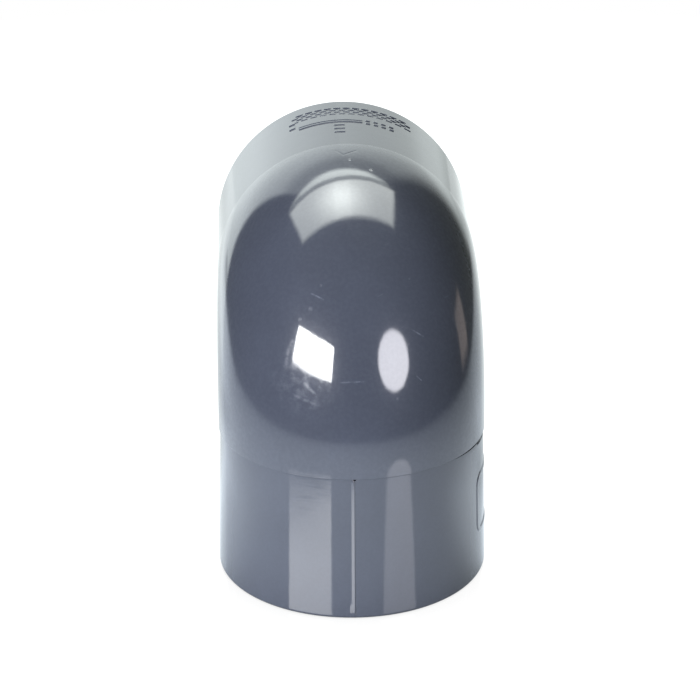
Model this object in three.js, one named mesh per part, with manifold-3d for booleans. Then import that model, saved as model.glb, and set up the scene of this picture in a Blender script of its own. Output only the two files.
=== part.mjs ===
// A moulded PVC-U 90 degree elbow for 25 mm pressure pipe, standing on its lower socket.
// Three pieces: the bend body, and a plain solvent-cement socket sleeve on each of its two ends.
// Millimetres, +Z up. The lower socket opens down at the floor, and the upper one opens along +Y.
// The origin is on the floor, at the centre of the elbow's bounding box.
import * as THREE from "three";
import { mergeVertices } from "three/addons/utils/BufferGeometryUtils.js";
import Module from "manifold-3d";

const wasm = await Module();
wasm.setup();

// Bend body
const BEND_OUTER_RADIUS = 16.5; // of its round section
const WATERWAY_RADIUS = 10.3;
const CENTRELINE_RADIUS = 14.9; // of the 90 degree turn

// Socket sleeves: the outside widens from the seam to the face, and the bore narrows to its root
const SLEEVE_LENGTH = 18.4;
const SEAM_OUTER_RADIUS = 16.33; // a little under the bend's, which leaves a small step at the seam
const FACE_OUTER_RADIUS = 16.85;
const SOCKET_MOUTH_RADIUS = 12.65; // for a 25 mm pipe
const SOCKET_ROOT_RADIUS = 12.55;
const LEAD_IN = 0.6; // chamfer at the socket's mouth
const FACE_CHAMFER = 0.4; // on the sleeve's outer edge
const SEAM_CHAMFER = 0.12; // on both sides of the seam, which makes its fine V groove

// Tongue of the bend body in a groove of the sleeve, left out on the throat side
const TONGUE_INNER_RADIUS = 13.75;
const TONGUE_OUTER_RADIUS = 15.15;
const TONGUE_LENGTH = 3;
const TONGUE_STOP = 11; // how far towards the throat it reaches
const TONGUE_ROOT = 1; // length that is sunk into the bend body
const GROOVE_CLEARANCE = 0.12;
const MITRE_GAP = 0.1; // between the two sleeves, where they meet in the throat

// Moulding flash down the heel side of the lower sleeve
const FLASH_WIDTH = 0.32;
const FLASH_HEIGHT = 0.1;
const FLASH_TURN = THREE.MathUtils.degToRad(-1.5); // from the heel's middle
const FLASH_END_WIDTH = 0.62; // of the blob where it runs out at the face
const FLASH_END_LENGTH = 1.8;

// Blank raised marks. Across is along the leg's own X, and middle is the distance from the seam.
const SIDE_MARK_HEIGHT = 0.1;
const PANEL = { width: 13.4, length: 8.2, middle: 8.7, corner: 1.6, line: 0.7 };
const PANEL_BARS = { count: 2, pitch: 2, across: 2.6, width: 0.7, length: 4 };
const TOP_ROWS = [
  { count: 12, pitch: 1.2, across: -1.1, middle: 15.1, width: 0.95, length: 0.4, height: 0.14 },
  { count: 13, pitch: 1.2, across: -1.1, middle: 14.35, width: 0.85, length: 0.4, height: 0.1 },
  { count: 12, pitch: 1.2, across: -1.1, middle: 13.6, width: 0.85, length: 0.4, height: 0.1 },
  { count: 13, pitch: 1.2, across: -1.1, middle: 12.85, width: 0.85, length: 0.4, height: 0.08 },
  { count: 1, pitch: 0, across: 1.65, middle: 10.2, width: 8.1, length: 0.4, height: 0.11 },
  { count: 1, pitch: 0, across: 1.65, middle: 9.5, width: 8.1, length: 0.4, height: 0.11 },
  { count: 4, pitch: 1, across: -4.6, middle: 10.4, width: 0.6, length: 0.4, height: 0.12 },
  { count: 4, pitch: 1, across: -4.6, middle: 9.3, width: 0.6, length: 0.4, height: 0.12 },
  { count: 1, pitch: 0, across: 0.6, middle: 8.2, width: 1.4, length: 0.4, height: 0.11 },
  { count: 1, pitch: 0, across: 0.6, middle: 6.8, width: 1.4, length: 0.4, height: 0.11 },
  { count: 1, pitch: 0, across: 0.6, middle: 5.4, width: 1.4, length: 0.4, height: 0.11 },
  { count: 1, pitch: 0, across: 6.5, middle: 12.7, width: 0.8, length: 0.8, height: 0.12 },
  { count: 1, pitch: 0, across: 6.5, middle: 10.9, width: 0.8, length: 0.8, height: 0.12 },
];

const ROUND_SEGMENTS = 72;
const CORNER_SEGMENTS = 4;
const STEP = (2 * Math.PI) / ROUND_SEGMENTS;
const SUNK = 0.6; // how deep a raised detail is rooted in its wall
const SKIN_START = 0.5; // distance from the seam at which raised details begin
const OVERCUT = 1; // how far a cutting wedge runs past the surface that it cuts
const FAR = 60; // half the size of a cutting block, well outside the elbow

const SEAM = CENTRELINE_RADIUS; // distance of each seam from the crossing of the two socket axes
const REACH = SEAM + SLEEVE_LENGTH; // distance of each socket face from that crossing
const LOWER_AXIS_Y = (FACE_OUTER_RADIUS + FLASH_HEIGHT - REACH) / 2;
const FLARE = (FACE_OUTER_RADIUS - SEAM_OUTER_RADIUS) / (SLEEVE_LENGTH - FACE_CHAMFER);

// Geometry to solid and back
function toSolid(geometry) {
  const bare = geometry.clone();
  bare.deleteAttribute("normal");
  bare.deleteAttribute("uv");
  const merged = mergeVertices(bare, 1e-4);
  const made = new wasm.Mesh({
    numProp: 3,
    vertProperties: new Float32Array(merged.attributes.position.array),
    triVerts: new Uint32Array(merged.index.array),
  });
  return new wasm.Manifold(made);
}

function toGeometry(solid) {
  const made = solid.getMesh();
  const geometry = new THREE.BufferGeometry();
  geometry.setAttribute("position", new THREE.BufferAttribute(made.vertProperties, 3));
  geometry.setIndex(new THREE.BufferAttribute(made.triVerts, 1));
  geometry.computeVertexNormals();
  return geometry;
}

// A solid of revolution about Z from [radius, z] points, which either close on themselves or end on the axis
function revolved(points) {
  const outline = points.map(([radius, z]) => new THREE.Vector2(radius, z));
  return new THREE.LatheGeometry(outline, ROUND_SEGMENTS).rotateX(Math.PI / 2);
}

// A ring with a rectangular section, from radius inner to outer and from z low to high
function ring(inner, outer, low, high) {
  return revolved([
    [inner, low],
    [outer, low],
    [outer, high],
    [inner, high],
    [inner, low],
  ]);
}

function block(low, high) {
  const size = high.map((value, i) => value - low[i]);
  const middle = high.map((value, i) => (value + low[i]) / 2);
  return new THREE.BoxGeometry(...size).translate(...middle);
}

// Each leg is drawn pointing down from the crossing of the axes, with its throat side towards +Y.
// The upper leg is the lower one given half a turn about the line that halves the corner.
const CORNER_LINE = new THREE.Vector3(0, 1, -1).normalize();
const TO_UPPER = new THREE.Quaternion().setFromAxisAngle(CORNER_LINE, Math.PI);

// Outside of the bend: its round section, cut off at the centre of the turn and swept about it.
// The full sweep is made first, and the quarter between the two seams is kept.
function bendOutside() {
  const meeting = Math.acos(-CENTRELINE_RADIUS / BEND_OUTER_RADIUS);
  const half = BEND_OUTER_RADIUS * Math.sin(meeting);
  const steps = Math.floor(meeting / STEP);
  const outline = [[0, -half]];
  for (let i = -steps; i <= steps; i += 1) {
    const radius = CENTRELINE_RADIUS + BEND_OUTER_RADIUS * Math.cos(i * STEP);
    outline.push([radius, BEND_OUTER_RADIUS * Math.sin(i * STEP)]);
  }
  outline.push([0, half]);
  return toSolid(turnedToBend(revolved(outline)));
}

function waterway() {
  const outline = [];
  for (let i = 0; i <= ROUND_SEGMENTS; i += 1) {
    const radius = CENTRELINE_RADIUS + WATERWAY_RADIUS * Math.cos(i * STEP);
    outline.push([radius, WATERWAY_RADIUS * Math.sin(i * STEP)]);
  }
  outline[ROUND_SEGMENTS] = outline[0];
  return toSolid(turnedToBend(revolved(outline)));
}

// Lays a shape of revolution about Z over to the axis of the turn, which runs along X
function turnedToBend(geometry) {
  return geometry.rotateY(Math.PI / 2).translate(0, SEAM, -SEAM);
}

// The wedge that a 45 degree chamfer takes off the bend's edge at a seam
function seamEdge() {
  const outer = BEND_OUTER_RADIUS + OVERCUT;
  const start = BEND_OUTER_RADIUS - SEAM_CHAMFER - OVERCUT;
  const low = -SEAM - OVERCUT;
  return revolved([
    [start, low],
    [outer, low],
    [outer, low + outer - start],
    [start, low],
  ]);
}

function tongue(clearance) {
  const full = ring(
    TONGUE_INNER_RADIUS - clearance,
    TONGUE_OUTER_RADIUS + clearance,
    -SEAM - TONGUE_LENGTH - clearance,
    -SEAM + TONGUE_ROOT,
  );
  const kept = block([-FAR, -FAR, -FAR], [FAR, TONGUE_STOP + clearance, FAR]);
  return toSolid(full).intersect(toSolid(kept));
}

function upperOf(solid) {
  return toSolid(toGeometry(solid).applyQuaternion(TO_UPPER));
}

function bendBody() {
  const quarter = toSolid(block([-FAR, -FAR, -SEAM], [FAR, SEAM, FAR]));
  const edge = toSolid(seamEdge());
  const lowerTongue = tongue(0);
  return bendOutside()
    .intersect(quarter)
    .subtract(edge)
    .subtract(upperOf(edge))
    .add(lowerTongue)
    .add(upperOf(lowerTongue))
    .subtract(waterway());
}

// Outer radius of a sleeve at a height z of the leg
function sleeveRadius(z) {
  return SEAM_OUTER_RADIUS + FLARE * (-SEAM - z);
}

function plainSleeve() {
  return toSolid(
    revolved([
      [SOCKET_ROOT_RADIUS, -SEAM],
      [SOCKET_MOUTH_RADIUS, -REACH + LEAD_IN],
      [SOCKET_MOUTH_RADIUS + LEAD_IN, -REACH],
      [FACE_OUTER_RADIUS - FACE_CHAMFER, -REACH],
      [FACE_OUTER_RADIUS, -REACH + FACE_CHAMFER],
      [SEAM_OUTER_RADIUS, -SEAM - SEAM_CHAMFER],
      [SEAM_OUTER_RADIUS - SEAM_CHAMFER, -SEAM],
      [SOCKET_ROOT_RADIUS, -SEAM],
    ]),
  );
}

// The block past the plane that halves the corner, which a sleeve doesn't cross
function mitreBlock() {
  const beyond = block([-FAR, -FAR, -MITRE_GAP / 2], [FAR, FAR, FAR]);
  return toSolid(beyond.rotateX(-Math.PI / 4));
}

// A skin over the sleeve's outside that is proud of it by height
function skin(height) {
  const top = -SEAM - SKIN_START;
  const bottom = -REACH + FACE_CHAMFER;
  return toSolid(
    revolved([
      [sleeveRadius(bottom) - SUNK, bottom],
      [sleeveRadius(bottom) + height, bottom],
      [sleeveRadius(top) + height, top],
      [sleeveRadius(top) - SUNK, top],
      [sleeveRadius(bottom) - SUNK, bottom],
    ]),
  );
}

// A flat outline, x across and y up the sleeve, pushed out through the wall to the side that faces turn
function stamp(shape, middle, turn) {
  const options = { depth: FAR, bevelEnabled: false, curveSegments: CORNER_SEGMENTS };
  const deep = new THREE.ExtrudeGeometry(shape, options);
  deep.rotateX(Math.PI / 2).translate(0, 0, -SEAM - middle);
  return toSolid(deep.rotateZ(turn));
}

function rectangle(width, length, x = 0) {
  const shape = new THREE.Shape();
  shape.moveTo(x - width / 2, -length / 2);
  shape.lineTo(x + width / 2, -length / 2);
  shape.lineTo(x + width / 2, length / 2);
  shape.lineTo(x - width / 2, length / 2);
  return shape;
}

// Rectangles in a row across the leg
function row({ count, pitch, width, length, across = 0 }) {
  const shapes = [];
  for (let i = 0; i < count; i += 1) {
    shapes.push(rectangle(width, length, across + (i - (count - 1) / 2) * pitch));
  }
  return shapes;
}

function roundedOutline(path, width, length, corner) {
  const x = width / 2 - corner;
  const y = length / 2 - corner;
  path.absarc(x, y, corner, 0, Math.PI / 2, false);
  path.absarc(-x, y, corner, Math.PI / 2, Math.PI, false);
  path.absarc(-x, -y, corner, Math.PI, 1.5 * Math.PI, false);
  path.absarc(x, -y, corner, 1.5 * Math.PI, 2 * Math.PI, false);
  return path;
}

function joined(solids) {
  return solids.reduce((all, next) => all.add(next));
}

// Rounded frame with upright bars in it, on the +X side of the lower sleeve
function sidePanel() {
  const { width, length, middle, corner, line } = PANEL;
  const frame = roundedOutline(new THREE.Shape(), width, length, corner);
  frame.holes.push(roundedOutline(new THREE.Path(), width - 2 * line, length - 2 * line, corner - line));
  const shapes = [frame, ...row(PANEL_BARS)];
  return joined(shapes.map((shape) => stamp(shape, middle, Math.PI / 2)));
}

// Four staggered rows of short dashes, a double rule, and small dashes beside it, on top of the upper sleeve
function topMarks() {
  return TOP_ROWS.map((dashes) => {
    const stamped = row(dashes).map((shape) => stamp(shape, dashes.middle, 0));
    return joined(stamped).intersect(skin(dashes.height));
  });
}

// Thin upright line that widens where it runs out at the socket's face
function flash() {
  const line = rectangle(FLASH_WIDTH, SLEEVE_LENGTH);
  const end = rectangle(FLASH_END_WIDTH, FLASH_END_LENGTH);
  const endMiddle = SLEEVE_LENGTH - FLASH_END_LENGTH / 2;
  return joined([stamp(line, SLEEVE_LENGTH / 2, FLASH_TURN), stamp(end, endMiddle, FLASH_TURN)]);
}

function sleeve(details) {
  const cut = plainSleeve().subtract(mitreBlock()).subtract(tongue(GROOVE_CLEARANCE));
  return joined([cut, ...details]);
}

function lowerSleeve() {
  return sleeve([
    sidePanel().intersect(skin(SIDE_MARK_HEIGHT)),
    flash().intersect(skin(FLASH_HEIGHT)),
  ]);
}

function upperSleeve() {
  return sleeve(topMarks());
}

function piece(name, solid, colour) {
  const material = new THREE.MeshStandardMaterial({ color: colour, roughness: 0.22, metalness: 0 });
  const mesh = new THREE.Mesh(toGeometry(solid), material);
  mesh.name = name;
  return mesh;
}

const elbow = new THREE.Group();
const legs = new THREE.Group();
legs.position.set(0, LOWER_AXIS_Y, REACH);
elbow.add(legs);

const upper = piece("upper_socket_sleeve", upperSleeve(), 0x6a707d);
upper.quaternion.copy(TO_UPPER);
legs.add(piece("bend_body", bendBody(), 0x5f6574));
legs.add(piece("lower_socket_sleeve", lowerSleeve(), 0x646a78));
legs.add(upper);

export default elbow;
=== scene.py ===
"""A glossy PVC-U 90 degree elbow on a pale studio table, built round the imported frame.

The fine meshes stand for the three faceted CAD nodes. Lengths in the named values are millimetres and
angles are degrees, unless a comment says otherwise. The legs are drawn about the crossing of the two socket
axes: the lower leg points down from it, and the upper one, which points along +Y, is the lower one given half
a turn.
"""

import functools
import math

import bmesh
import bpy
import numpy as np
from mathutils import Matrix, Vector


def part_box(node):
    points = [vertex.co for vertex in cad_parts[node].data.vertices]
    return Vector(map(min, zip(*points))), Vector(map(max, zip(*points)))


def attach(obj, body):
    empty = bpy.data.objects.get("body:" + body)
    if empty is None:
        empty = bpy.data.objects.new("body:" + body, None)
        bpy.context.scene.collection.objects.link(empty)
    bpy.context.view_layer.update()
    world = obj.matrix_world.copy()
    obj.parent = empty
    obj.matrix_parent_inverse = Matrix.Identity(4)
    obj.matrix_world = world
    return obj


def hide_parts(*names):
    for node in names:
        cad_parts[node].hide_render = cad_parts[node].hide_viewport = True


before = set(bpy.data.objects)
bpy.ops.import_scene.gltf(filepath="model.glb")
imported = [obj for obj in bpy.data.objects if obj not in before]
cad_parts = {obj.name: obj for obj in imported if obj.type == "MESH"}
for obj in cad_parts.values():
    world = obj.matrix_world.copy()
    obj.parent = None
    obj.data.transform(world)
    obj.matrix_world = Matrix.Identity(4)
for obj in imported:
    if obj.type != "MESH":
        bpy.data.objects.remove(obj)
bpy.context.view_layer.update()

MM = 0.001
DEGREES = 180 / math.pi
WHITE = (1.0, 1.0, 1.0)

# Sizes and places that the frame gives
LOWER_LOW, LOWER_HIGH = (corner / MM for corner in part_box("lower_socket_sleeve"))
UPPER_LOW, UPPER_HIGH = (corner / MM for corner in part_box("upper_socket_sleeve"))
BEND_LOW, BEND_HIGH = (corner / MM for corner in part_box("bend_body"))
BEND_RADIUS = (BEND_HIGH.x - BEND_LOW.x) / 2
FACE_RADIUS = UPPER_HIGH.x
SLEEVE_LENGTH = LOWER_HIGH.z - LOWER_LOW.z
AXIS_HEIGHT = UPPER_LOW.z + FACE_RADIUS  # of the upper socket's axis
SEAM = AXIS_HEIGHT - LOWER_HIGH.z  # distance of each seam from the crossing
CROSSING = Vector((0, UPPER_LOW.y - SEAM, AXIS_HEIGHT))

# Bend body
WATERWAY_RADIUS = 10.3
LOWER_SEAM_EDGE = 0.06  # rounding on both sides of the lower seam
UPPER_SEAM_EDGE = 0.005
DIP_SLOPE = 0.03  # the bend dips in a little just above the lower seam: how steeply it starts
DIP_LENGTH = 1  # and how far up the dip is deepest
TONGUE_INNER_RADIUS = 13.75
TONGUE_OUTER_RADIUS = 15.15
TONGUE_LENGTH = 3
TONGUE_HALF_TURN = 136  # how far round from the heel the tongue reaches

# Socket sleeves
SEAM_RADIUS = 16.33
SOCKET_MOUTH_RADIUS = 12.65
SOCKET_ROOT_RADIUS = 12.55
LEAD_IN = 0.6
FACE_EDGE = 0.4  # rounding of the outer edge at the face
GROOVE_CLEARANCE = 0.12  # all round the tongue
GROOVE_EXTRA_TURN = 1  # at each end of the tongue
MITRE_GAP = 0.07  # clearance in the throat, where the two sleeves meet

# The lower joint line stands a little open, and more at each (turn, spread, gap): on its +X side and by the
# flash
JOINT_GAP = 0.02
OPEN_GAPS = ((62, 13, 0.28), (79, 9, 0.55), (-0.9, 0.7, 0.25))
UPPER_JOINT_GAP = 0.005
JOINT_GAP_DEPTH = 0.9

# Moulding flash down the heel of the lower sleeve: a gentle rise from the -X side, and a steep drop
FLASH_TURN = -1
FLASH_RISE = 0.36
FLASH_DROP = 0.1
FLASH_HEIGHT = 0.095
FLASH_END_LENGTH = 2.7  # near the face it grows wider and higher, by these shares
FLASH_END_WIDER = 0.6
FLASH_END_HIGHER = 0.16
FLASH_END_GROWTH = 1.2  # along which it does so
FLASH_STOP = (0.65, 0.4)  # it runs out between these distances from the face

# Blank raised marks. Across is along the leg's own X, and middle is the distance from the seam.
SIDE_MARK_HEIGHT = 0.1
SIDE_MARK_WALL = 0.1  # how wide the slope of a mark's side is
PANEL = {"width": 13.4, "length": 8.2, "middle": 8.7, "corner": 1.6, "line": 0.7}
PANEL_BARS = {
    "count": 2, "pitch": 2, "across": 2.6, "middle": 8.7,
    "width": 0.7, "length": 4, "height": SIDE_MARK_HEIGHT,
}
PANEL_TURN = 90
TOP_MARK_WALL = 0.03
BAR_LENGTH = 0.4  # of every bar on top but the pads
DASHES = {"pitch": 1.2, "across": -1.1, "length": BAR_LENGTH}
RULE = {"count": 1, "pitch": 0, "across": 1.65, "width": 8.1, "length": BAR_LENGTH, "height": 0.11}
TICKS = {"count": 4, "pitch": 1, "across": -4.6, "width": 0.6, "length": BAR_LENGTH, "height": 0.12}
SHORT_BAR = {"count": 1, "pitch": 0, "across": 0.6, "width": 1.4, "length": BAR_LENGTH, "height": 0.11}
PAD = {"count": 1, "pitch": 0, "across": 6.5, "width": 0.8, "length": 0.8, "height": 0.12}
TOP_ROWS = (
    {**DASHES, "count": 12, "middle": 15.1, "width": 0.95, "height": 0.14},
    {**DASHES, "count": 13, "middle": 14.35, "width": 0.85, "height": 0.1},
    {**DASHES, "count": 12, "middle": 13.6, "width": 0.85, "height": 0.1},
    {**DASHES, "count": 13, "middle": 12.85, "width": 0.85, "height": 0.08},
    *({**RULE, "middle": middle} for middle in (10.2, 9.5)),
    *({**TICKS, "middle": middle} for middle in (10.4, 9.3)),
    *({**SHORT_BAR, "middle": middle} for middle in (8.2, 6.8, 5.4)),
    *({**PAD, "middle": middle} for middle in (12.7, 10.9)),
)
MARK_CREASE = 0.012  # how near its corners a wall's extra edges lie

# Gate mark on the bend, a shallow V before the upper seam, and two specks beside it.
# Across runs round the bend and before is the distance to the upper seam.
GATE_STROKES = (((-1.4, 2.3), (-0.5, 3.9)), ((-0.5, 3.9), (1.2, 2.5)))
GATE_WIDTH = 0.3
GATE_DEPTH = 0.03
SPECKS = ((0.25, 5.25), (2.85, 7.35))
SPECK_RADIUS = 0.32
SPECK_HEIGHT = 0.04

# Mesh density
TURN_STEP = 1.25  # degrees round a leg
SWEEP_STEP = 1.25  # degrees along the bend
SLEEVE_STEP = 0.45
UPPER_SLEEVE_STEP = 0.9  # its marks bring many stations of their own
SEAM_SWEEPS = (0, 0.02, 0.05, 0.09, 0.13, 0.18, 0.23, 0.32, 0.45, 0.65, 0.9)  # degrees from each seam
RELIEF_TURNS = ((0, 5.2, 0.3), (8.4, 11.6, 0.3))  # finer at the gate mark and the specks: (low, high, step)
RELIEF_SWEEPS = ((75.4, 77.6, 0.25), (79.4, 86.3, 0.25))
THROAT_STRETCH, THROAT_STEP = 2, 0.4  # degrees
THROAT_STATIONS = 12
WATERWAY_RINGS = 25
BORE_RINGS = 10
SEAM_EDGE_RINGS = 5
FACE_EDGE_RINGS = 7
FLASH_TURNS = (-2.7, 1.1, 0.06)  # (low, high, step) about the flash
FLASH_ROW_STEP = 0.2
FLASH_LAST_ROW = 0.8  # from the face
PANEL_TURN_MARGIN, PANEL_TURN_STEP = 0.4, 0.28
PANEL_ROW_MARGIN, PANEL_ROW_STEP = 0.1, 0.09
CROWDING = 0.06  # plain stations nearer than this to a mark's own are left out
WELD = 1e-8  # metres

# Rings close by a corner, which keep the shading beside it clean: their distances from it
PLAIN_RING_MARGIN = 0.1  # no plain ring comes nearer than this to a rounded edge
SEAM_CREASE = 0.03
SEAM_CLEARANCE = 0.02
FACE_CREASE = 0.06
LEAD_IN_CREASES = {"face": 0.06, "outer": 0.02, "inner": 0.03, "bore": 0.06}

# Camera
CAMERA_PLACE = Vector((-8.453, -234.109, 92.430))  # from the crossing
CAMERA_AZIMUTH = -2.03
CAMERA_ELEVATION = 22.64
CAMERA_ROLL = -0.25
LENS = 106.46
SENSOR = 36


def smooth(value, low, high):
    """0 below low and 1 above high, with a smooth ramp between."""
    share = np.clip((value - low) / (high - low), 0, 1)
    return share * share * (3 - 2 * share)


# ---------------------------------------------------------------- meshes


def stations(low, high, step, *stretches):
    """Values from low to high about step apart, and closer in each (low, high, step) stretch."""
    values = [np.linspace(low, high, max(2, math.ceil((high - low) / step) + 1))]
    for first, last, fine in stretches:
        values = [part[(part < first - fine / 2) | (part > last + fine / 2)] for part in values]
        values.append(np.linspace(first, last, max(2, math.ceil((last - first) / fine) + 1)))
    values = np.sort(np.concatenate(values))
    apart = np.concatenate(([True], np.diff(values) > 1e-4))
    return values[apart]


def ring_mesh(name, rings):
    """A closed solid from rings of points, rings[k][j], joined in order round both ways."""
    count, around = rings.shape[:2]
    corner = np.arange(count * around).reshape(count, around)
    below, left = np.roll(corner, -1, 0), np.roll(corner, -1, 1)
    faces = np.stack([corner, left, np.roll(below, -1, 1), below], -1).reshape(-1, 4)
    mesh = bpy.data.meshes.new(name)
    points = (rings.reshape(-1, 3) + np.array(CROSSING)) * MM
    mesh.from_pydata(points.tolist(), [], faces.tolist())
    work = bmesh.new()
    work.from_mesh(mesh)
    bmesh.ops.remove_doubles(work, verts=work.verts, dist=WELD)
    bmesh.ops.recalc_face_normals(work, faces=work.faces)
    for face in work.faces:
        face.smooth = True
    work.to_mesh(mesh)
    work.free()
    piece = bpy.data.objects.new(name, mesh)
    bpy.context.scene.collection.objects.link(piece)
    return piece


def swept(radius, turn, sweep):
    """A point of the bend. Turn goes round it from the heel towards +X, and sweep up from the lower seam."""
    turn, sweep = np.radians(turn), np.radians(sweep)
    out = SEAM + radius * np.cos(turn)
    place = (radius * np.sin(turn), SEAM - out * np.cos(sweep), out * np.sin(sweep) - SEAM)
    return np.stack(np.broadcast_arrays(*place), -1)


def segment_distance(x, y, start, end):
    """Distance of (x, y) from a straight stroke."""
    run = np.subtract(end, start)
    share = np.clip(((x - start[0]) * run[0] + (y - start[1]) * run[1]) / run.dot(run), 0, 1)
    return np.hypot(x - start[0] - share * run[0], y - start[1] - share * run[1])


def bend_relief(turn, sweep):
    """Height of the gate mark and of the specks on the bend."""
    across = BEND_RADIUS * np.radians(turn)
    before = (SEAM + BEND_RADIUS * np.cos(np.radians(turn))) * np.radians(90 - sweep)
    height = 0
    for start, end in GATE_STROKES:
        distance = segment_distance(across, before, start, end)
        height = np.minimum(height, -GATE_DEPTH * (1 - smooth(distance, 0, GATE_WIDTH / 2)))
    for x, y in SPECKS:
        distance = np.hypot(across - x, before - y)
        height = height + SPECK_HEIGHT * (1 - smooth(distance, 0, SPECK_RADIUS))
    return height


def bend_outline(turn, sweep):
    """Outer radius of the bend, which is cut off at the centre of the sweep, where the throat is an edge."""
    out = np.maximum(SEAM + BEND_RADIUS * np.cos(np.radians(turn)), 0)
    from_seam = out * np.sin(np.radians(np.minimum(sweep, 90 - sweep)))
    edge = LOWER_SEAM_EDGE if sweep < 45 else UPPER_SEAM_EDGE
    left = np.clip(edge - from_seam, 0, edge)
    rounding = edge - np.sqrt(edge**2 - left**2)
    above = out * np.radians(sweep)
    dip = DIP_SLOPE * above * np.exp(-above / DIP_LENGTH)
    radius = BEND_RADIUS - rounding - dip + bend_relief(turn, sweep)
    towards_throat = np.maximum(-np.cos(np.radians(turn)), 1e-6)
    return np.minimum(radius, SEAM / towards_throat)


def bend_columns():
    """Turns round the bend, with few where the throat is cut off to an edge."""
    pole = math.degrees(math.acos(-SEAM / (BEND_RADIUS - LOWER_SEAM_EDGE)))
    half = stations(0, pole, TURN_STEP, *RELIEF_TURNS, (pole - THROAT_STRETCH, pole, THROAT_STEP))
    half = np.concatenate((half, np.linspace(pole, 180, THROAT_STATIONS)[1:]))
    return np.concatenate((-half[::-1], half[1:-1]))


def seam_face_rings(turns, sweep, outwards):
    """From the waterway out to the edge across one seam face, with the tongue on it."""
    edge = bend_outline(turns, sweep)
    middle = np.minimum(TONGUE_OUTER_RADIUS, (TONGUE_INNER_RADIUS + edge) / 2)
    tongue = np.where(np.abs(turns) < TONGUE_HALF_TURN, TONGUE_LENGTH, 0)
    along = np.outer(tongue, outwards)
    inner = swept(TONGUE_INNER_RADIUS, turns, sweep)
    outer = swept(middle, turns, sweep)
    return [inner, inner + along, outer + along, outer]


def bend_body():
    turns = bend_columns()
    near_seam = np.array(SEAM_SWEEPS)
    sweeps = stations(SWEEP_STEP, 90 - SWEEP_STEP, SWEEP_STEP, *RELIEF_SWEEPS)
    sweeps = np.concatenate((near_seam, sweeps, 90 - near_seam[::-1]))
    rings = seam_face_rings(turns, 0, (0, 0, -1))
    rings += [swept(bend_outline(turns, sweep), turns, sweep) for sweep in sweeps]
    rings += seam_face_rings(turns, 90, (0, 1, 0))[::-1]
    rings += [swept(WATERWAY_RADIUS, turns, sweep) for sweep in np.linspace(90, 0, WATERWAY_RINGS)]
    return ring_mesh("bend_shell", np.array(rings))


def box_distance(x, y, width, length, corner=0.0):
    """Distance outside a rectangle with round corners about the origin, and negative inside it."""
    over_x = np.abs(x) - width / 2 + corner
    over_y = np.abs(y) - length / 2 + corner
    outside = np.hypot(np.maximum(over_x, 0), np.maximum(over_y, 0))
    return outside + np.minimum(np.maximum(over_x, over_y), 0) - corner


def raised(distance, wall):
    """1 on top of a mark and 0 beside it, with a plain slope on its wall."""
    return np.clip(-distance / wall, 0, 1)


def bars(count, pitch, across, middle, width, length, height):
    """A row of equal bars as single ones."""
    one = {"middle": middle, "width": width, "length": length, "height": height}
    return [{**one, "across": across + (i - (count - 1) / 2) * pitch} for i in range(count)]


def bar_height(x, s, bar, wall):
    distance = box_distance(x - bar["across"], s - bar["middle"], bar["width"], bar["length"])
    return raised(distance, wall) * bar["height"]


def panel_height(x, s):
    width, length, corner, line = (PANEL[key] for key in ("width", "length", "corner", "line"))
    distance = box_distance(x, s - PANEL["middle"], width, length, corner)
    return raised(np.abs(distance + line / 2) - line / 2, SIDE_MARK_WALL) * SIDE_MARK_HEIGHT


def flash_height(x, s):
    end_start = SLEEVE_LENGTH - FLASH_END_LENGTH
    end = smooth(s, end_start, end_start + FLASH_END_GROWTH)
    wider = 1 + FLASH_END_WIDER * end
    rise = 1 + x / (FLASH_RISE * wider)
    drop = 1 - x / (FLASH_DROP * wider)
    fade_start, fade_end = (SLEEVE_LENGTH - distance for distance in FLASH_STOP)
    height = FLASH_HEIGHT * (1 + FLASH_END_HIGHER * end) * (1 - smooth(s, fade_start, fade_end))
    return height * np.clip(np.minimum(rise, drop), 0, 1)


def facing(turn, middle):
    """Distance across the sleeve from the side that faces middle, and far away on the sleeve's other side."""
    away = np.radians(turn - middle)
    return np.where(np.cos(away) > 0, SEAM_RADIUS * np.sin(away), 1e3)


def lower_relief(turn, s):
    side = facing(turn, PANEL_TURN)
    marks = panel_height(side, s)
    for bar in bars(**PANEL_BARS):
        marks = np.maximum(marks, bar_height(side, s, bar, SIDE_MARK_WALL))
    return marks + flash_height(facing(turn, FLASH_TURN), s)


def top_bars():
    return [bar for row in TOP_ROWS for bar in bars(**row)]


def upper_relief(turn, s):
    top = facing(turn, 0)
    marks = 0
    for bar in top_bars():
        marks = np.maximum(marks, bar_height(top, s, bar, TOP_MARK_WALL))
    return marks


def turn_of(across, middle):
    return middle + math.degrees(math.asin(across / SEAM_RADIUS))


def mark_edges(marks, place, size, wall):
    """Where the walls of the marks have their corners, with an extra place close by each corner."""
    edges = []
    for mark in marks:
        low = mark[place] - mark[size] / 2
        high = mark[place] + mark[size] / 2
        for inwards in (-MARK_CREASE, 0, wall, wall + MARK_CREASE):
            edges += [low + inwards, high - inwards]
    return edges


def joined_stations(base, extra):
    """Base stations with the extra ones put in, and base ones that crowd them left out."""
    extra = np.unique(np.round(extra, 5))
    crowded = np.abs(base[:, None] - extra[None, :]).min(1) < CROWDING
    crowded[[0, -1]] = False
    return np.unique(np.concatenate((base[~crowded], extra)))


def corner_places(size, corner):
    """Where the round corners of the panel start and end along one of its sides, from the middle."""
    half = size / 2
    return -half, -half + corner, half - corner, half


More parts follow.
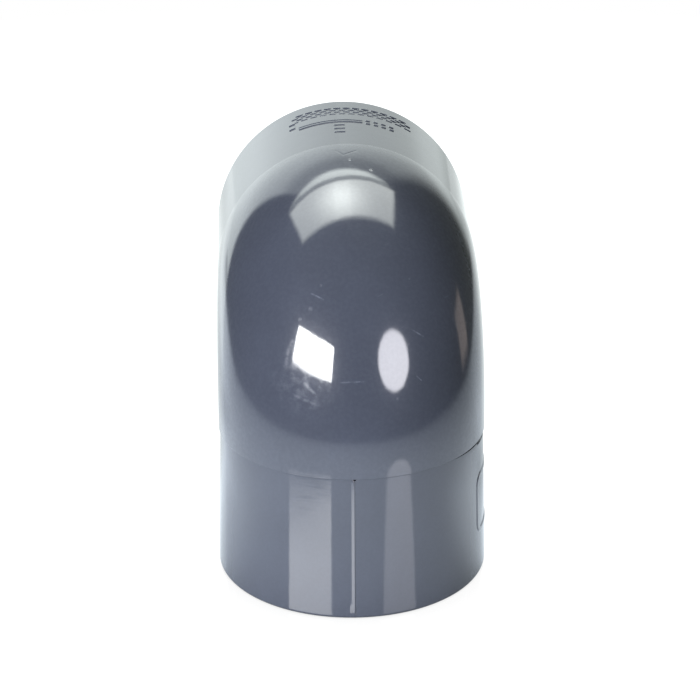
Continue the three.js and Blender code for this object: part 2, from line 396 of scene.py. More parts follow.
def lower_stations():
    """Turns round the lower sleeve and rows along it."""
    side = [turn_of(x, PANEL_TURN) for x in corner_places(PANEL["width"], PANEL["corner"])]
    ends = [PANEL["middle"] + y for y in corner_places(PANEL["length"], PANEL["corner"])]
    low, high, step = FLASH_TURNS
    turns = stations(
        -180, 180, TURN_STEP,
        (FLASH_TURN + low, FLASH_TURN + high, step),
        (side[0] - PANEL_TURN_MARGIN, side[1], PANEL_TURN_STEP),
        (side[2], side[3] + PANEL_TURN_MARGIN, PANEL_TURN_STEP),
    )
    rows = stations(
        0, SLEEVE_LENGTH, SLEEVE_STEP,
        (ends[0] - PANEL_ROW_MARGIN, ends[1], PANEL_ROW_STEP),
        (ends[2], ends[3] + PANEL_ROW_MARGIN, PANEL_ROW_STEP),
        (SLEEVE_LENGTH - FLASH_END_LENGTH - FLASH_ROW_STEP, SLEEVE_LENGTH - FLASH_LAST_ROW, FLASH_ROW_STEP),
    )
    marks = bars(**PANEL_BARS)
    mark_turns = [turn_of(x, PANEL_TURN) for x in mark_edges(marks, "across", "width", SIDE_MARK_WALL)]
    turns = joined_stations(turns, mark_turns)
    rows = joined_stations(rows, mark_edges(marks, "middle", "length", SIDE_MARK_WALL))
    return turns[:-1], rows


def upper_stations():
    """Turns round the upper sleeve and rows along it."""
    marks = top_bars()
    mark_turns = [turn_of(x, 0) for x in mark_edges(marks, "across", "width", TOP_MARK_WALL)]
    turns = joined_stations(stations(-180, 180, TURN_STEP), mark_turns)
    rows = stations(0, SLEEVE_LENGTH, UPPER_SLEEVE_STEP)
    rows = joined_stations(rows, mark_edges(marks, "middle", "length", TOP_MARK_WALL))
    return turns[:-1], rows


def rounded_corner(edge, steps):
    """(inwards, along) of a quarter-round edge: how far in from the wall, and how far from the end."""
    angles = np.linspace(0, math.pi / 2, steps)
    return [(edge * (1 - math.cos(a)), edge * (1 - math.sin(a))) for a in angles]


# A sleeve's rings are each (radius, distance from the seam), and either may differ from turn to turn.


def seam_end_rings(turns, edge, gap):
    """From the bore over the seam end with its groove, and out through the joint gap to the outside."""
    over_tongue = np.abs(turns) < TONGUE_HALF_TURN + GROOVE_EXTRA_TURN
    groove = np.where(over_tongue, TONGUE_LENGTH + GROOVE_CLEARANCE, 0)
    inner = TONGUE_INNER_RADIUS - GROOVE_CLEARANCE
    outer = TONGUE_OUTER_RADIUS + GROOVE_CLEARANCE
    joint = SEAM_RADIUS - JOINT_GAP_DEPTH
    rings = [(inner, 0), (inner, groove), (outer, groove), (outer, 0), (joint, 0), (joint, gap)]
    for inwards, along in rounded_corner(edge, SEAM_EDGE_RINGS)[::-1]:
        rings.append((SEAM_RADIUS - inwards, gap + along))
    return rings


def outside_rings(turns, rows, relief, edge, gap):
    """Down the outside, from the joint line to the end of the face's rounded edge."""
    wall_end = SLEEVE_LENGTH - FACE_EDGE
    slope = (FACE_RADIUS - SEAM_RADIUS) / wall_end

    def outside(s):
        return SEAM_RADIUS + slope * (s - edge) + relief(turns, s)

    plain = rows[(rows > edge + PLAIN_RING_MARGIN) & (rows < wall_end - PLAIN_RING_MARGIN)]
    rings = []
    for s in np.concatenate(([edge + SEAM_CREASE], plain, [wall_end - FACE_CREASE])):
        rings.append((outside(s), np.maximum(gap + edge + SEAM_CLEARANCE, s)))
    for inwards, along in rounded_corner(FACE_EDGE, FACE_EDGE_RINGS):
        rings.append((outside(wall_end) - inwards, SLEEVE_LENGTH - along))
    return rings


def bore_rings():
    """Over the lead-in chamfer and up the tapered bore to its root."""
    crease, mouth = LEAD_IN_CREASES, SOCKET_MOUTH_RADIUS
    rings = [
        (mouth + LEAD_IN + crease["face"], SLEEVE_LENGTH),
        (mouth + LEAD_IN, SLEEVE_LENGTH - crease["outer"]),
        (mouth + crease["inner"], SLEEVE_LENGTH - LEAD_IN + crease["inner"]),
        (mouth, SLEEVE_LENGTH - LEAD_IN - crease["bore"]),
    ]
    for share in np.linspace(0.9, 0, BORE_RINGS):
        rings.append((SOCKET_ROOT_RADIUS + (mouth - SOCKET_ROOT_RADIUS) * share, share * SLEEVE_LENGTH))
    return rings


def sleeve_points(turns, rows, relief, edge, gap):
    """The rings of a sleeve that points down. Rows are distances from the seam, and gap opens the joint."""
    rings = seam_end_rings(turns, edge, gap) + outside_rings(turns, rows, relief, edge, gap) + bore_rings()
    points = []
    for radius, s in rings:
        x = radius * np.sin(np.radians(turns))
        y = -radius * np.cos(np.radians(turns))
        mitre = np.maximum(y + MITRE_GAP - SEAM, 0)
        s = mitre + s * (1 - mitre / SLEEVE_LENGTH)
        points.append(np.stack([x, y, -SEAM - s], -1))
    return np.array(points)


def lower_sleeve():
    turns, rows = lower_stations()
    gap = JOINT_GAP
    for turn, spread, width in OPEN_GAPS:
        gap = gap + width * np.exp(-(((turns - turn) / spread) ** 2))
    return ring_mesh("lower_sleeve_shell", sleeve_points(turns, rows, lower_relief, LOWER_SEAM_EDGE, gap))


def upper_sleeve():
    turns, rows = upper_stations()
    points = sleeve_points(turns, rows, upper_relief, UPPER_SEAM_EDGE, UPPER_JOINT_GAP)
    half_turn = points[..., [0, 2, 1]] * -1
    return ring_mesh("upper_sleeve_shell", half_turn)


# ---------------------------------------------------------------- node arithmetic


class Number:
    """A number worked out by shader nodes, so that a pattern is written as plain arithmetic."""

    def __init__(self, tree, socket):
        self.tree, self.socket = tree, socket

    def __add__(self, other):
        return combined(self.tree, "ADD", self, other)

    def __sub__(self, other):
        return combined(self.tree, "SUBTRACT", self, other)

    def __rsub__(self, other):
        return combined(self.tree, "SUBTRACT", other, self)

    def __mul__(self, other):
        return combined(self.tree, "MULTIPLY", self, other)

    def __truediv__(self, other):
        return combined(self.tree, "DIVIDE", self, other)

    def __pow__(self, other):
        return combined(self.tree, "POWER", self, other)

    __radd__ = __add__
    __rmul__ = __mul__


def plug(tree, value, slot):
    """Links a number to a slot, or writes a plain value into it."""
    if isinstance(value, Number):
        tree.links.new(value.socket, slot)
    else:
        slot.default_value = value


def combined(tree, operation, *values):
    node = tree.nodes.new("ShaderNodeMath")
    node.operation = operation
    for value, slot in zip(values, node.inputs):
        plug(tree, value, slot)
    return Number(tree, node.outputs[0])


def least(a, b):
    return combined(a.tree, "MINIMUM", a, b)


def most(a, b):
    return combined(a.tree, "MAXIMUM", a, b)


def size_of(a):
    return combined(a.tree, "ABSOLUTE", a)


def ramp(value, low, high, start=0.0, end=1.0):
    """start below low and end above high, with a smooth ramp between."""
    node = value.tree.nodes.new("ShaderNodeMapRange")
    node.interpolation_type = "SMOOTHSTEP"
    for slot, number in zip(("From Min", "From Max", "To Min", "To Max"), (low, high, start, end)):
        plug(value.tree, number, node.inputs[slot])
    plug(value.tree, value, node.inputs["Value"])
    return Number(value.tree, node.outputs["Result"])


def between(value, low, high, soft):
    """1 between low and high, with edges that are soft wide."""
    rise = ramp(value, low - soft / 2, low + soft / 2)
    return rise * ramp(value, high - soft / 2, high + soft / 2, 1.0, 0.0)


def parts(tree, socket):
    """The three numbers of a vector."""
    node = tree.nodes.new("ShaderNodeSeparateXYZ")
    tree.links.new(socket, node.inputs[0])
    return [Number(tree, output) for output in node.outputs]


def vector(x, y, z):
    node = x.tree.nodes.new("ShaderNodeCombineXYZ")
    for value, slot in zip((x, y, z), node.inputs):
        plug(x.tree, value, slot)
    return node.outputs[0]


def tinted(number, colour):
    """The colour scaled by a number, as a vector socket."""
    return vector(number * colour[0], number * colour[1], number * colour[2])


def total(tree, sockets):
    result = sockets[0]
    for socket in sockets[1:]:
        node = tree.nodes.new("ShaderNodeVectorMath")
        tree.links.new(result, node.inputs[0])
        tree.links.new(socket, node.inputs[1])
        result = node.outputs[0]
    return result


def multiplied(tree, first, second):
    node = tree.nodes.new("ShaderNodeVectorMath")
    node.operation = "MULTIPLY"
    tree.links.new(first, node.inputs[0])
    tree.links.new(second, node.inputs[1])
    return node.outputs[0]


def chosen(tree, share, first, second):
    """First where share is 0 and second where it is 1, as a colour."""
    node = tree.nodes.new("ShaderNodeMix")
    node.data_type = "RGBA"
    plug(tree, share, node.inputs["Factor"])
    for value, slot in ((first, node.inputs["A"]), (second, node.inputs["B"])):
        if isinstance(value, tuple):
            slot.default_value = (*value, 1)
        else:
            tree.links.new(value, slot)
    return node.outputs["Result"]


def noise(tree, place, scale, detail=2.0, roughness=0.5):
    node = tree.nodes.new("ShaderNodeTexNoise")
    node.inputs["Scale"].default_value = scale
    node.inputs["Detail"].default_value = detail
    node.inputs["Roughness"].default_value = roughness
    tree.links.new(place, node.inputs["Vector"])
    return Number(tree, node.outputs["Fac"])


# ---------------------------------------------------------------- materials

# Colours are linear. Scales of the noise patterns are per millimetre.
PVC = (0.046, 0.053, 0.076)
SCUFF = (0.16, 0.18, 0.24)
PVC_IOR = 1.54
HAZE_ROUGHNESS = 0.3  # of the wide weak glow that fine rubbing gives to a highlight
BUMP = 0.03  # depth of a bump of 1
BEND_GRAIN = {"cloud": 0.11, "speckle": 2.2, "ripple": 0.35}
SLEEVE_GRAIN = {"cloud": 0.12, "speckle": 2.6, "ripple": 0.3}

JOINT_RADII = (15.3, 16.2)  # the faces between these radii stand in a joint gap, and get painted shade
JOINT_SOFT = 0.06
JOINT_SHADE_LIGHT = 0.2  # how light the painted shade leaves them, as a share

# Scratches and wider rubbed streaks on the bend: each (start, end, width), with places as (across, along)
SCRATCHES = (
    ((-5, 22.65), (-3.55, 21.75), 0.16),
    ((6.9, 18.1), (8.5, 17.35), 0.16),
    ((-1.65, 11.8), (0.9, 11.85), 0.14),
    ((7.4, 12.4), (8.1, 11.8), 0.12),
)
RUBS = (
    ((-7.4, 17.1), (-8.15, 15.6), 0.4),
    ((-8.1, 15.8), (-8.5, 13.8), 0.4),
    ((-6.1, 11.8), (-4.6, 10.2), 0.32),
    ((-7.4, 10.3), (-4.8, 9.2), 0.3),
    ((-5.4, 20.8), (-4.9, 20.75), 0.4),
    ((-6.7, 19.6), (-6.3, 19.5), 0.35),
    ((-4.0, 23.6), (-3.7, 23.5), 0.3),
    ((6.3, 16.4), (6.6, 16.3), 0.3),
    ((4.8, 9.8), (5.1, 9.7), 0.3),
    ((6.8, 24.8), (6.95, 24.6), 0.3),
)
SCUFFED_PATCH = {"across": -6.4, "along": 12, "radius": 4.6}


def pvc_start(name):
    """A new glossy PVC material: its tree, its shader, and its place in millimetres from the crossing."""
    material = bpy.data.materials.new(name)
    material.use_nodes = True
    tree = material.node_tree
    shader = tree.nodes["Principled BSDF"]
    shader.inputs["IOR"].default_value = PVC_IOR
    place = parts(tree, tree.nodes.new("ShaderNodeTexCoord").outputs["Object"])
    place = [axis / MM - middle for axis, middle in zip(place, CROSSING)]
    return material, tree, shader, place


def grain(tree, place, scales):
    """Three noises: wide clouds, a fine speckle, and the ripple of the surface."""
    cloud = noise(tree, place, scales["cloud"], 3.0)
    speckle = noise(tree, place, scales["speckle"], 3.0, 0.6)
    ripple = noise(tree, place, scales["ripple"])
    return cloud, speckle, ripple


def mottled(cloud, speckle):
    """How light the plastic is, which hardly varies."""
    return ramp(cloud, 0.3, 0.7, 0.95, 1.05) * ramp(speckle, 0.3, 0.7, 0.97, 1.03)


def bumped(tree, shader, height):
    bump = tree.nodes.new("ShaderNodeBump")
    bump.inputs["Distance"].default_value = BUMP * MM
    tree.links.new(height.socket, bump.inputs["Height"])
    tree.links.new(bump.outputs["Normal"], shader.inputs["Normal"])


def joint_painted_shade(shader, radius):
    """Paints shade into the joint gaps, on faces told by their distance to the axis: dulls their reflections
    there, and gives how light their colour stays.
    """
    inside = between(radius, *JOINT_RADII, JOINT_SOFT)
    dull = ramp(inside, 0, 1, 0.5, 0.0)
    radius.tree.links.new(dull.socket, shader.inputs["Specular IOR Level"])
    return ramp(inside, 0, 1, 1.0, JOINT_SHADE_LIGHT)


def scratch(across, along, start, end, width):
    """A straight scratch between two (across, along) points, 1 on it and 0 off it."""
    run = (end[0] - start[0], end[1] - start[1])
    length = math.hypot(*run)
    run = (run[0] / length, run[1] / length)
    x, y = across - start[0], along - start[1]
    forwards = x * run[0] + y * run[1]
    sideways = size_of(x * run[1] - y * run[0])
    return ramp(sideways, 0, width, 1.0, 0.0) * between(forwards, 0, length, length / 4)


def marked(across, along, strokes):
    """1 on any of the strokes, which are (start, end, width)."""
    marks = 0
    for start, end, width in strokes:
        one = scratch(across, along, start, end, width)
        marks = most(one, marks)
    return marks


def bend_wear(tree, across, along, cloud):
    """Scratches, rubbed streaks, a scuffed patch and hair-fine lines, each 0 where the bend is unmarked."""
    surface = vector(across, along, 0.0)
    patchy = ramp(noise(tree, surface, 1.5, 4.0, 0.65), 0.36, 0.62, 0.15, 1.0)
    scratches = marked(across, along, SCRATCHES) * patchy
    rubbed = marked(across, along, RUBS) * patchy
    patch_x = (across - SCUFFED_PATCH["across"]) / SCUFFED_PATCH["radius"]
    patch_y = (along - SCUFFED_PATCH["along"]) / SCUFFED_PATCH["radius"]
    scuffed = ramp(patch_x ** 2.0 + patch_y ** 2.0, 0.1, 1.2, 1.0, 0.0)
    scuffed = scuffed * ramp(noise(tree, surface, 0.9, 4.0, 0.65), 0.42, 0.7)
    combed = vector(across * 0.5 + along * 0.3, along * 4.0 - across * 2.2, 0.0)
    hairs = ramp(noise(tree, combed, 0.8), 0.7, 0.76) * ramp(cloud, 0.45, 0.6)
    return scratches, rubbed, scuffed, hairs


def bend_material():
    material, tree, shader, (x, y, z) = pvc_start("bend_pvc")
    out = combined(tree, "SQRT", (y - SEAM) ** 2.0 + (z + SEAM) ** 2.0)
    across = combined(tree, "ARCTAN2", x, out - SEAM) * BEND_RADIUS
    along = combined(tree, "ARCTAN2", z + SEAM, SEAM - y) * (SEAM + BEND_RADIUS)  # from the lower seam
    section = combined(tree, "SQRT", (out - SEAM) ** 2.0 + x * x)

    cloud, speckle, ripple = grain(tree, vector(x, y, z), BEND_GRAIN)
    scratches, rubbed, scuffed, hairs = bend_wear(tree, across, along, cloud)
    worn = least(scratches * 0.5 + rubbed * 0.14 + scuffed * 0.08 + hairs * 0.05, 1.0)
    # the tone is the plastic's own mottling, with painted shade darkening it in the joint gaps
    tone_and_joint_shade = mottled(cloud, speckle) * joint_painted_shade(shader, section)
    tree.links.new(chosen(tree, worn, tinted(tone_and_joint_shade, PVC), SCUFF), shader.inputs["Base Color"])
    roughness = ramp(cloud, 0.35, 0.7, 0.055, 0.08) + worn * 0.2 + ramp(speckle, 0.5, 0.8, 0.0, 0.03)
    tree.links.new(roughness.socket, shader.inputs["Roughness"])
    haze = least(ramp(speckle, 0.35, 0.75, 0.09, 0.17) + rubbed * 0.5 + scuffed * 0.35 + hairs * 0.2, 1.0)
    tree.links.new(haze.socket, shader.inputs["Coat Weight"])
    shader.inputs["Coat Roughness"].default_value = HAZE_ROUGHNESS
    bumped(tree, shader, ripple * 0.25 - worn * 0.02 + speckle * 0.025)
    return material


def sleeve_material():
    material, tree, shader, (x, y, z) = pvc_start("sleeve_pvc")
    lower = ramp(y + z, -0.5, 0.5, 1.0, 0.0)  # 1 on the lower leg and 0 on the upper one
    upper = 1 - lower
    along = z * lower * -1 + y * upper - SEAM
    turn = combined(tree, "ARCTAN2", x, z * upper - y * lower) * SEAM_RADIUS
    section = combined(tree, "SQRT", x * x + (y * lower + z * upper) ** 2.0)

    cloud, speckle, ripple = grain(tree, vector(x, y, z), SLEEVE_GRAIN)
    wander = noise(tree, vector(turn * 0.25, along * 0.4, lower), 1.0)
    lines = noise(tree, vector(turn * 0.06, along * 2.6 + wander * 2.2, lower), 1.6, 2.0, 0.6)
    # the tone is the plastic's own mottling, with painted shade darkening it in the joint gaps
    tone_and_joint_shade = mottled(cloud, speckle) * joint_painted_shade(shader, section)
    tree.links.new(tinted(tone_and_joint_shade, PVC), shader.inputs["Base Color"])
    roughness = ramp(cloud, 0.35, 0.7, 0.06, 0.08) + ramp(lines, 0.4, 0.7, 0.0, 0.02)
    tree.links.new(roughness.socket, shader.inputs["Roughness"])
    bumped(tree, shader, lines * 0.05 + ripple * 0.3 + speckle * 0.015)
    return material


# ---------------------------------------------------------------- studio

# Directions are an azimuth from -Y towards +X, and an elevation. Strengths are linear, with 1 as white.
# The two lamps are placed as they are seen from the heel of the bend.
LAMPS_SEEN_FROM = CROSSING + Vector((0, -12.5, 0))
# The softbox is curved: each edge runs between two (azimuth, elevation) corners and rises between them.
SOFTBOX_EDGES = (
    {"corners": ((-57.3, 18.0), (-19.9, 18.0)), "bulge": 0.25},
    {"corners": ((-58.1, 34.1), (-18.9, 34.2)), "bulge": 1.8},
)
SOFTBOX_DISTANCE = 540
SOFTBOX_STRENGTH = 36
SOFTBOX_PARTS = 12
SOFTBOX_DIM_EDGE = 0.19  # height of its dimmer lower edge, as a share
ROUND_LIGHT = {"azimuth": 39, "elevation": 23.75, "radius": 14.5, "distance": 325, "strength": 13}
ROUND_LIGHT_SIDES = 64
# Lamps that only light matt surfaces: where they stand, how wide they are, and their strength
SOFT_LAMPS = {"key": (-30, 20, 36, 5.8), "side": (-65, 60, 40, 0.9)}

# The overhead panel is flat and one unit above the object. Corners are (x, y) on it.
PANEL_CORNERS = ((-0.655, 0.085), (-0.822, 0.656), (0.644, 0.845), (0.617, 0.222))
PANEL_FAR_EDGE = 1  # the edge that starts at this corner
PANEL_GLOW = 5.2
PANEL_TINT = (0.97, 1.02, 0.98)
HOT_SPOT = (-0.07, 0.42)
HOT_SPOT_GLOW = 6.9  # on top of the panel's own
HOT_SPOT_FALL = 15.4  # how fast that fades, with the square of the distance from the spot
STRIP_BOW = 0.25  # how far its outer edge stands out in the middle
STRIP_TINT = (0.95, 1.02, 0.98)
BACKDROP_EDGES = (-37, 32)  # either side of +Y
BACKDROP_TINT = (0.94, 1.02, 1.02)
ROOM_TINT = (0.95, 1.05, 1.0)
WARM_TINT = (1.15, 0.95, 0.85)

TABLE_RADIUS = 300
TABLE_SIDES = 180
TABLE_DROP = 0.02  # below the face that the elbow stands on
TABLE_GLOW = 1.46
TABLE_TINT = (0.9, 1.0, 1.1)
TABLE_TINT_BEHIND = (0.94, 1.0, 1.0)
TABLE_SHARE_IN_MATT = 0.1  # of its glow that lights matt surfaces
TABLE_IOR = 1.5
TABLE_ROUGHNESS = 0.02
SHADOW_REACH = 34
SHADOW_POWER = 1.7  # how much deeper the shadow is where the object mirrors it
SHADOW_LIGHT = 0.7  # how bright the camera sees the table in full shadow
SHADOW_RISE = 0.45  # and how much brighter in the open


def direction_of(azimuth, elevation):
    azimuth, elevation = math.radians(azimuth), math.radians(elevation)
    level = math.cos(elevation)
    return Vector((math.sin(azimuth) * level, -math.cos(azimuth) * level, math.sin(elevation)))


def edge_depth(across, back, start, end):
    """How far inside one straight edge of the panel a direction meets it."""
    (x0, y0), (x1, y1) = start, end
    return ((across - x0) * (y1 - y0) - (back - y0) * (x1 - x0)) / math.hypot(x1 - x0, y1 - y0)


def panel_light(across, back, inside):
    """The panel overhead, brightest round its hot spot and in a band across its middle."""
    from_spot = (across - HOT_SPOT[0]) ** 2.0 + (back - HOT_SPOT[1]) ** 2.0
    glow = combined(across.tree, "EXPONENT", from_spot * -HOT_SPOT_FALL) * HOT_SPOT_GLOW + PANEL_GLOW
    glow = glow * (between(across, -0.15, 0.045, 0.02) * 0.07 + 1)
    return ramp(inside, -0.01, 0.07) * glow


def strip_light(across, beyond):
    """The strip of light past the panel's far edge, with a dim line at its start and a bowed outer edge."""
    bow = 1 - ((across + 0.13) / 0.73) ** 2.0
    strip = ramp(beyond, 0.03, 0.08, 0.36, 1.0) * ramp(beyond, -0.02, 0.01)
    strip = strip * ramp(beyond - bow * STRIP_BOW, -0.09, 0.05, 1.0, 0.0) * ramp(bow, 0, 0.2)
    return strip * ramp(across, -0.7, -0.1, 3.8, 6.0) * ramp(across, 0, 0.6, 1.0, 0.75)


def overhead(x, y, z):
    """The panel and the strip, as they are seen in the direction (x, y, z)."""
    height = most(z, 0.08)  # so that directions near the horizon stay on the panel's plane
    across, back = x / height, y / height
    ends = PANEL_CORNERS[1:] + PANEL_CORNERS[:1]
    depths = [edge_depth(across, back, start, end) for start, end in zip(PANEL_CORNERS, ends)]
    inside = functools.reduce(least, depths)
    above = ramp(z, 0.1, 0.2)
    return panel_light(across, back, inside) * above, strip_light(across, depths[PANEL_FAR_EDGE] * -1) * above


def backdrop_light(behind, elevation):
    """The backdrop, brightest on its -X side and dimmer towards its top. Behind is an azimuth from +Y."""
    left, right = BACKDROP_EDGES
    light = ramp(behind, left - 2, left + 2) * ramp(behind, right - 8, right + 4, 1.0, 0.0)
    light = light * ramp(behind, -25, 35, 1.9, 0.9) * ramp(elevation, 28, 40, 1.0, 0.57)
    light = light * ramp(elevation, 44, 52, 1.0, 0.0) * ramp(elevation, -12, 6, 0.75, 1.05)
    low_right = ramp(elevation, -10, -3, -0.18, 0.22) * ramp(elevation, 1, 9, 1.0, 0.2) * ramp(behind, 5, 20)
    return light * (low_right + 1)


def seen_in_gloss(tree, x, y, z):
    """The studio as the object reflects it."""
    azimuth = combined(tree, "ARCTAN2", x, y * -1) * DEGREES
    behind = combined(tree, "ARCTAN2", x, y) * DEGREES
    elevation = combined(tree, "ARCSINE", z) * DEGREES
    panel, strip = overhead(x, y, z)
    room = ramp(azimuth, -40, 100, 0.05, 0.14) + ramp(elevation, 30, 80, 0.0, 0.12)
    warm = between(azimuth, 107, 119, 3.0) * between(elevation, -6, 7, 4.0)
    return total(tree, [
        tinted(panel, PANEL_TINT),
        tinted(strip, STRIP_TINT),
        tinted(backdrop_light(behind, elevation), BACKDROP_TINT),
        tinted(room, ROOM_TINT),
        tinted(warm * 0.8, WARM_TINT),
    ])


def make_world():
    world = bpy.data.worlds.new("studio")
    bpy.context.scene.world = world
    world.use_nodes = True
    tree = world.node_tree
    x, y, z = parts(tree, tree.nodes.new("ShaderNodeTexCoord").outputs["Generated"])
    is_camera = Number(tree, tree.nodes.new("ShaderNodeLightPath").outputs["Is Camera Ray"])
    light = chosen(tree, is_camera, seen_in_gloss(tree, x, y, z), WHITE)
    tree.links.new(light, tree.nodes["Background"].inputs["Color"])
    world.cycles_visibility.diffuse = False


def table_shade(x, y, away, round_back, from_back):
    """The soft shades that the object and the room leave on the table, and a glow close by its sides."""
    left = ramp(x, -75, -45) * ramp(x, 0, 50, 1.0, 0.0) * ramp(y, 15, 45)
    right = combined(x.tree, "EXPONENT", (((x - 30) / 18) ** 2.0 + ((y - 22) / 12) ** 2.0) * -1)
    shade = (1 - left * 0.4) * (1 - right * 0.5) * ramp(y, 90, 220, 1.0, 0.55)
    shade = shade * (1 - between(round_back, 16, 55, 12.0) * ramp(away, 35, 50) * 0.16)
    near = ramp(away, 36, 56, 1.0, 0.0) * ramp(from_back, 38, 55) * ramp(from_back, 92, 122, 1.0, 0.0)
    return shade * (near * ramp(x, -20, 20, 0.22, 0.45) + 1)


def table_glow(tree):
    """How brightly the table shines where it is mirrored, and how much of a place lies behind the object."""
    place = parts(tree, tree.nodes.new("ShaderNodeTexCoord").outputs["Object"])
    x, y = place[0] / MM, place[1] / MM
    away = combined(tree, "SQRT", x * x + y * y)
    round_back = combined(tree, "ARCTAN2", x, y) * DEGREES
    from_back = size_of(round_back)
    fading = 1 - ramp(away, 30, 170, 0.0, 0.45) * ramp(from_back, 35, 75)
    reach = ramp(from_back, 35, 75, 180, 125)
    fading = fading * (1 - ramp(away - reach, 0, 75, 0.0, 0.9) * ramp(from_back, 28, 34))
    behind = ramp(from_back, 20, 60, 1.0, 0.0)
    shade = table_shade(x, y, away, round_back, from_back)
    glow = fading * shade * ramp(x, -40, 150, 1.3, 0.85) * ramp(behind, 0, 1, 1.05, 0.8) * TABLE_GLOW
    return glow, behind


def table_colour(tree):
    """White with a soft shadow to the camera, and the studio's glow to the object and in matt light."""
    path = tree.nodes.new("ShaderNodeLightPath")
    is_diffuse = Number(tree, path.outputs["Is Diffuse Ray"])
    is_camera = Number(tree, path.outputs["Is Camera Ray"])
    shadow = tree.nodes.new("ShaderNodeAmbientOcclusion")
    shadow.inputs["Distance"].default_value = SHADOW_REACH * MM
    open_share = Number(tree, shadow.outputs["AO"])
    glow, behind = table_glow(tree)
    glow = glow * open_share ** SHADOW_POWER * ramp(is_diffuse, 0, 1, 1.0, TABLE_SHARE_IN_MATT)
    tint = chosen(tree, behind, TABLE_TINT, TABLE_TINT_BEHIND)
    mirrored = multiplied(tree, tint, tinted(glow, WHITE))
    seen = tinted(open_share * SHADOW_RISE + SHADOW_LIGHT, WHITE)
    return chosen(tree, is_camera, mirrored, seen)


def table_material():
    """A white glossy table that glows, darker where the object stands close over it."""
    material = bpy.data.materials.new("table_gloss")
    material.use_nodes = True
    material.cycles.emission_sampling = "NONE"
    tree = material.node_tree
    tree.nodes.remove(tree.nodes["Principled BSDF"])
    lit = tree.nodes.new("ShaderNodeEmission")
    tree.links.new(table_colour(tree), lit.inputs["Color"])
    shine = tree.nodes.new("ShaderNodeBsdfGlossy")
    shine.inputs["Roughness"].default_value = TABLE_ROUGHNESS
    fresnel = tree.nodes.new("ShaderNodeFresnel")
    fresnel.inputs["IOR"].default_value = TABLE_IOR
    tree.links.new(fresnel.outputs[0], shine.inputs["Color"])
    both = tree.nodes.new("ShaderNodeAddShader")
    tree.links.new(lit.outputs[0], both.inputs[0])
    tree.links.new(shine.outputs[0], both.inputs[1])
    tree.links.new(both.outputs[0], tree.nodes["Material Output"].inputs["Surface"])
    return material


def make_table():
    mesh = bpy.data.meshes.new("table")
    work = bmesh.new()
    bmesh.ops.create_circle(work, cap_ends=True, segments=TABLE_SIDES, radius=TABLE_RADIUS * MM)
    work.to_mesh(mesh)
    work.free()
    table = bpy.data.objects.new("table", mesh)
    table.location = (0, CROSSING.y * MM, (LOWER_LOW.z - TABLE_DROP) * MM)
    mesh.materials.append(table_material())
    bpy.context.scene.collection.objects.link(table)


def glowing_card(name, corners, glow, faces):
    """A lamp that shows only in gloss. Glow gives its colour from its material's tree."""
    mesh = bpy.data.meshes.new(name)
    mesh.from_pydata([tuple(corner * MM) for corner in corners], [], faces)
    material = bpy.data.materials.new(name)
    material.use_nodes = True
    tree = material.node_tree
    tree.nodes.remove(tree.nodes["Principled BSDF"])
    lamp = tree.nodes.new("ShaderNodeEmission")
    tree.links.new(glow(tree), lamp.inputs["Color"])
    tree.links.new(lamp.outputs[0], tree.nodes["Material Output"].inputs["Surface"])
    mesh.materials.append(material)
    card = bpy.data.objects.new(name, mesh)
    card.visible_camera = False
    card.visible_diffuse = False
    card.visible_shadow = False
    bpy.context.scene.collection.objects.link(card)


def softbox_glow(tree):
    """Even, but for a lower edge that is dimmer, and most of all at its left end."""
    x, y, z = parts(tree, tree.nodes.new("ShaderNodeTexCoord").outputs["Generated"])
    edge = x * 0.6 + 0.25
    return tinted((edge + (1 - edge) * ramp(z, 0, SOFTBOX_DIM_EDGE)) * SOFTBOX_STRENGTH, WHITE)


def make_softbox():
    corners = []
    for edge in SOFTBOX_EDGES:
        (azimuth, elevation), (last_azimuth, last_elevation) = edge["corners"]
        for i in range(SOFTBOX_PARTS + 1):
            share = i / SOFTBOX_PARTS
            bulge = edge["bulge"] * 4 * share * (1 - share)
            height = elevation + (last_elevation - elevation) * share + bulge
            towards = direction_of(azimuth + (last_azimuth - azimuth) * share, height)
            corners.append(LAMPS_SEEN_FROM + towards * SOFTBOX_DISTANCE)
    above = SOFTBOX_PARTS + 1
    faces = [(i, i + 1, above + i + 1, above + i) for i in range(SOFTBOX_PARTS)]
    glowing_card("softbox", corners, softbox_glow, faces)


def round_aim():
    return direction_of(ROUND_LIGHT["azimuth"], ROUND_LIGHT["elevation"])


def round_centre():
    return LAMPS_SEEN_FROM + round_aim() * ROUND_LIGHT["distance"]


def round_radius():
    return ROUND_LIGHT["distance"] * math.tan(math.radians(ROUND_LIGHT["radius"]))


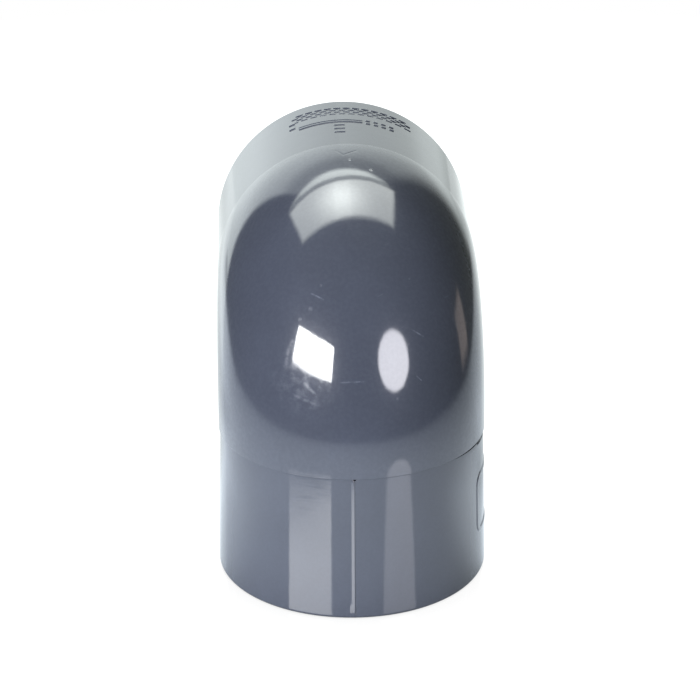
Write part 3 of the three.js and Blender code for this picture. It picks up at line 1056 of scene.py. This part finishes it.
def round_glow(tree):
    """Even, with a soft rim."""
    place = parts(tree, tree.nodes.new("ShaderNodeTexCoord").outputs["Object"])
    x, y, z = (axis / MM - middle for axis, middle in zip(place, round_centre()))
    away = combined(tree, "SQRT", x * x + y * y + z * z) / round_radius()
    return tinted(ramp(away, 0.86, 1.0, 1.0, 0.1) * ROUND_LIGHT["strength"], (1, 0.99, 1.05))


def make_round_lamp():
    aim = round_aim()
    right = Vector((0, 0, 1)).cross(aim).normalized()
    rim = []
    for i in range(ROUND_LIGHT_SIDES):
        angle = 2 * math.pi * i / ROUND_LIGHT_SIDES
        offset = right * math.cos(angle) + aim.cross(right) * math.sin(angle)
        rim.append(round_centre() + offset * round_radius())
    glowing_card("round_lamp", rim, round_glow, [tuple(range(ROUND_LIGHT_SIDES))])


def make_soft_lamps():
    for name, (azimuth, elevation, width, strength) in SOFT_LAMPS.items():
        data = bpy.data.lights.new(name, "SUN")
        data.energy = strength
        data.angle = math.radians(width)
        lamp = bpy.data.objects.new(name, data)
        lamp.rotation_euler = direction_of(azimuth, elevation).to_track_quat("Z", "Y").to_euler()
        lamp.visible_glossy = False
        bpy.context.scene.collection.objects.link(lamp)


def make_camera():
    data = bpy.data.cameras.new("camera")
    data.lens = LENS
    data.sensor_width = SENSOR
    camera = bpy.data.objects.new("camera", data)
    back = direction_of(CAMERA_AZIMUTH, CAMERA_ELEVATION)
    right = Vector((0, 0, 1)).cross(back).normalized()
    up = back.cross(right)
    turned = Matrix((right, up, back)).transposed() @ Matrix.Rotation(math.radians(CAMERA_ROLL), 3, "Z")
    camera.matrix_world = Matrix.Translation((CROSSING + CAMERA_PLACE) * MM) @ turned.to_4x4()
    bpy.context.scene.collection.objects.link(camera)
    bpy.context.scene.camera = camera


def place_piece(piece, node, material):
    piece.data.materials.append(material)
    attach(piece, "root")
    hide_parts(node)


sleeve_pvc = sleeve_material()
place_piece(bend_body(), "bend_body", bend_material())
place_piece(lower_sleeve(), "lower_socket_sleeve", sleeve_pvc)
place_piece(upper_sleeve(), "upper_socket_sleeve", sleeve_pvc)
make_world()
make_table()
make_softbox()
make_round_lamp()
make_soft_lamps()
make_camera()
bpy.context.scene.view_settings.view_transform = "Standard"
